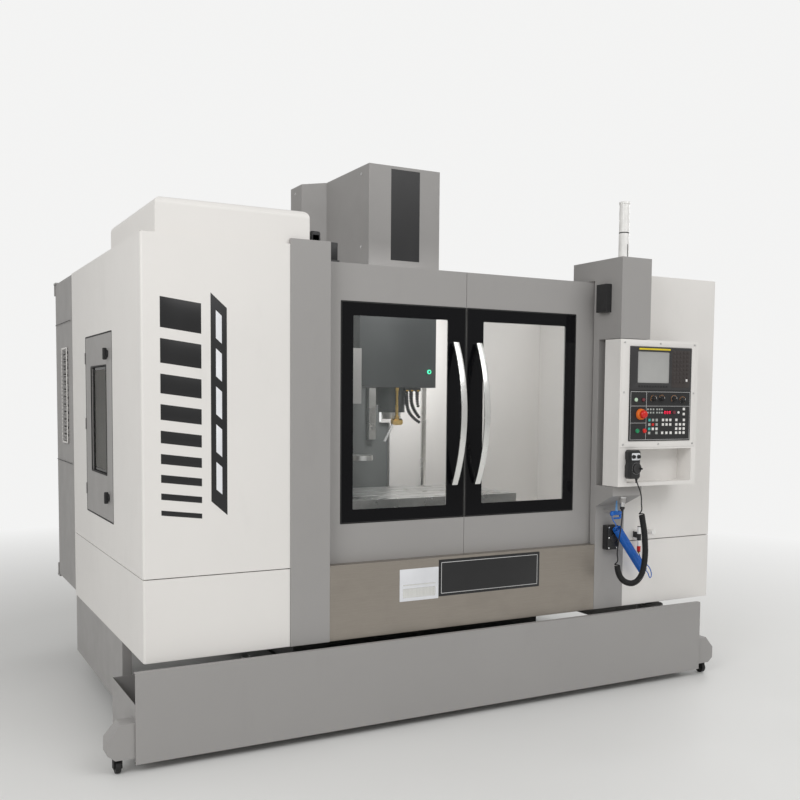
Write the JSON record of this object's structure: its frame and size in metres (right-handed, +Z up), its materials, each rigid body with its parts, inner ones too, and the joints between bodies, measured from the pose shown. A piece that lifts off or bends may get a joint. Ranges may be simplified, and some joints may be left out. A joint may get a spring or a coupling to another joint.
{
  "type": "cnc vertical machining center",
  "caption": "Enclosed vertical machining centre with sliding glazed doors, arm tool changer, swivelling control box and a roll-out coolant tank.",
  "frame": {"origin": "middle of the machine's footprint on the floor (cords left out)", "axes": "+X to the operator's right, +Y to the rear, +Z up"},
  "size_m": [3.153, 2.376, 2.621],
  "materials": {
    "white_paint": "satin powder coat",
    "grey_paint": "satin powder coat",
    "casting_paint": "painted casting",
    "dark_paint": "satin",
    "stainless": "brushed",
    "steel": "ground",
    "black_plastic": "matte",
    "black_paint": "satin",
    "red_plastic": "gloss",
    "green_plastic": "gloss",
    "lamp_plastic": "gloss",
    "blue_plastic": "gloss",
    "cord_rubber": "matte",
    "castor_rubber": "matte",
    "window_glass": "clear"
  },
  "bodies": {
    "frame": {"bed": "casting_paint", "levelling_feet": "steel", "column": "casting_paint", "guide_rails": "steel", "axis_motors": "black_paint", "left_panel": "white_paint", "right_panel": "white_paint", "skirts": "white_paint", "left_post": "grey_paint", "right_pillar": "grey_paint", "rear_panels": "white_paint", "apron": "stainless", "door_track": "steel", "magazine_cover": "white_paint", "splash_pans": "white_paint", "cabinet": "grey_paint", "signal_lamp": "lamp_plastic", "front_fittings": "black_plastic", "tool_changer_body": "grey_paint", "air_gun": "blue_plastic", "air_hose": "blue_plastic", "air_coil": "blue_plastic"},
    "left_door": {"left_door": "grey_paint", "left_window": "window_glass", "left_handle": "steel"},
    "right_door": {"right_door": "grey_paint", "right_window": "window_glass", "right_handle": "steel"},
    "side_door": {"side_door": "grey_paint", "side_window": "window_glass"},
    "side_latch_upper": {"side_latch_upper": "black_plastic"},
    "side_latch_lower": {"side_latch_lower": "black_plastic"},
    "cabinet_door": {"cabinet_door": "grey_paint"},
    "main_switch": {"main_switch": "red_plastic"},
    "saddle": {"saddle": "casting_paint"},
    "table": {"table": "steel"},
    "x_screw": {"x_screw": "steel"},
    "y_screw": {"y_screw": "steel"},
    "z_screw": {"z_screw": "steel"},
    "head": {"head": "dark_paint", "head_cover": "grey_paint", "coolant_nozzles": "black_plastic"},
    "spindle": {"spindle": "steel"},
    "magazine_disc": {"magazine_disc": "dark_paint"},
    "changer_arm": {"changer_arm": "steel"},
    "control_box": {"control_box": "white_paint", "display_unit": "dark_paint", "operator_panel": "black_plastic", "pendant": "black_plastic", "pendant_cord": "cord_rubber", "pendant_curl": "cord_rubber", "pendant_plug": "steel"},
    "emergency_stop": {"emergency_stop": "red_plastic"},
    "start_button": {"start_button": "green_plastic"},
    "stop_button": {"stop_button": "red_plastic"},
    "mode_knob": {"mode_knob": "black_plastic"},
    "feed_knob": {"feed_knob": "black_plastic"},
    "pendant_wheel": {"pendant_wheel": "black_plastic"},
    "coolant_tank": {"coolant_tank": "grey_paint", "castors": "castor_rubber"}
  },
  "joints": [
    {"name": "left_door_slide", "type": "slide", "parent": "frame", "child": "left_door", "axis": [-1, 0, 0], "range_m": [0, 0.6]},
    {"name": "right_door_slide", "type": "slide", "parent": "frame", "child": "right_door", "axis": [1, 0, 0], "range_m": [0, 0.6]},
    {"name": "side_door_hinge", "type": "hinge", "parent": "frame", "child": "side_door", "pos_m": [-1.4175, 0.158, 1.311], "axis": [0, 0, -1], "range_deg": [0, 110]},
    {"name": "side_latch_upper_turn", "type": "hinge", "parent": "side_door", "child": "side_latch_upper", "pos_m": [-1.4235, -0.344, 1.633], "axis": [1, 0, 0], "range_deg": [0, 90]},
    {"name": "side_latch_lower_turn", "type": "hinge", "parent": "side_door", "child": "side_latch_lower", "pos_m": [-1.4235, -0.344, 1], "axis": [1, 0, 0], "range_deg": [0, 90]},
    {"name": "cabinet_door_hinge", "type": "hinge", "parent": "frame", "child": "cabinet_door", "pos_m": [-1.4225, 1.0773, 1.25], "axis": [0, 0, 1], "range_deg": [0, 110]},
    {"name": "main_switch_turn", "type": "hinge", "parent": "cabinet_door", "child": "main_switch", "pos_m": [-0.9335, 1.0733, 1.5], "axis": [0, 1, 0], "range_deg": [0, 90]},
    {"name": "saddle_slide", "type": "slide", "parent": "frame", "child": "saddle", "axis": [0, 1, 0], "range_m": [-0.3, 0.3]},
    {"name": "table_slide", "type": "slide", "parent": "saddle", "child": "table", "axis": [1, 0, 0], "range_m": [-0.55, 0.55]},
    {"name": "x_screw_turn", "type": "hinge", "parent": "saddle", "child": "x_screw", "pos_m": [0.0765, -0.162, 0.8], "axis": [1, 0, 0], "continuous": true},
    {"name": "y_screw_turn", "type": "hinge", "parent": "frame", "child": "y_screw", "pos_m": [0.0765, -0.162, 0.605], "axis": [0, 1, 0], "continuous": true},
    {"name": "z_screw_turn", "type": "hinge", "parent": "frame", "child": "z_screw", "pos_m": [0.0765, 0.528, 1.7], "axis": [0, 0, 1], "continuous": true},
    {"name": "head_slide", "type": "slide", "parent": "frame", "child": "head", "axis": [0, 0, 1], "range_m": [-0.24, 0.36]},
    {"name": "spindle_turn", "type": "hinge", "parent": "head", "child": "spindle", "pos_m": [0.0765, -0.162, 1.34], "axis": [0, 0, 1], "continuous": true},
    {"name": "magazine_disc_turn", "type": "hinge", "parent": "frame", "child": "magazine_disc", "pos_m": [-0.6835, -0.162, 1.64], "axis": [1, 0, 0], "continuous": true},
    {"name": "changer_arm_turn", "type": "hinge", "parent": "frame", "child": "changer_arm", "pos_m": [-0.2735, -0.162, 1.162], "axis": [0, 0, 1], "range_deg": [0, 90]},
    {"name": "control_box_swivel", "type": "hinge", "parent": "frame", "child": "control_box", "pos_m": [0.8825, -1.066, 1.386], "axis": [0, 0, 1], "range_deg": [-75, 0]},
    {"name": "emergency_stop_press", "type": "slide", "parent": "control_box", "child": "emergency_stop", "axis": [0, 1, 0], "range_m": [0, 0.006], "stiffness_N_per_m": 2000, "springref_m": -0.002},
    {"name": "start_button_press", "type": "slide", "parent": "control_box", "child": "start_button", "axis": [0, 1, 0], "range_m": [0, 0.004], "stiffness_N_per_m": 1000, "springref_m": -0.002},
    {"name": "stop_button_press", "type": "slide", "parent": "control_box", "child": "stop_button", "axis": [0, 1, 0], "range_m": [0, 0.004], "stiffness_N_per_m": 1000, "springref_m": -0.002},
    {"name": "mode_knob_turn", "type": "hinge", "parent": "control_box", "child": "mode_knob", "pos_m": [1.0115, -1.126, 1.456], "axis": [0, 1, 0], "range_deg": [-60, 60]},
    {"name": "feed_knob_turn", "type": "hinge", "parent": "control_box", "child": "feed_knob", "pos_m": [1.1445, -1.126, 1.456], "axis": [0, 1, 0], "range_deg": [-135, 135]},
    {"name": "pendant_wheel_turn", "type": "hinge", "parent": "control_box", "child": "pendant_wheel", "pos_m": [0.8795, -1.163, 1.122], "axis": [0, 1, 0], "continuous": true},
    {"name": "coolant_tank_pull", "type": "slide", "parent": "frame", "child": "coolant_tank", "axis": [0, -1, 0], "range_m": [0, 0.6]}
  ],
  "couplings": [
    {"joint": "x_screw_turn", "follows": "table_slide", "rad_per_m": 392.7},
    {"joint": "y_screw_turn", "follows": "saddle_slide", "rad_per_m": 392.7},
    {"joint": "z_screw_turn", "follows": "head_slide", "rad_per_m": 392.7}
  ]
}
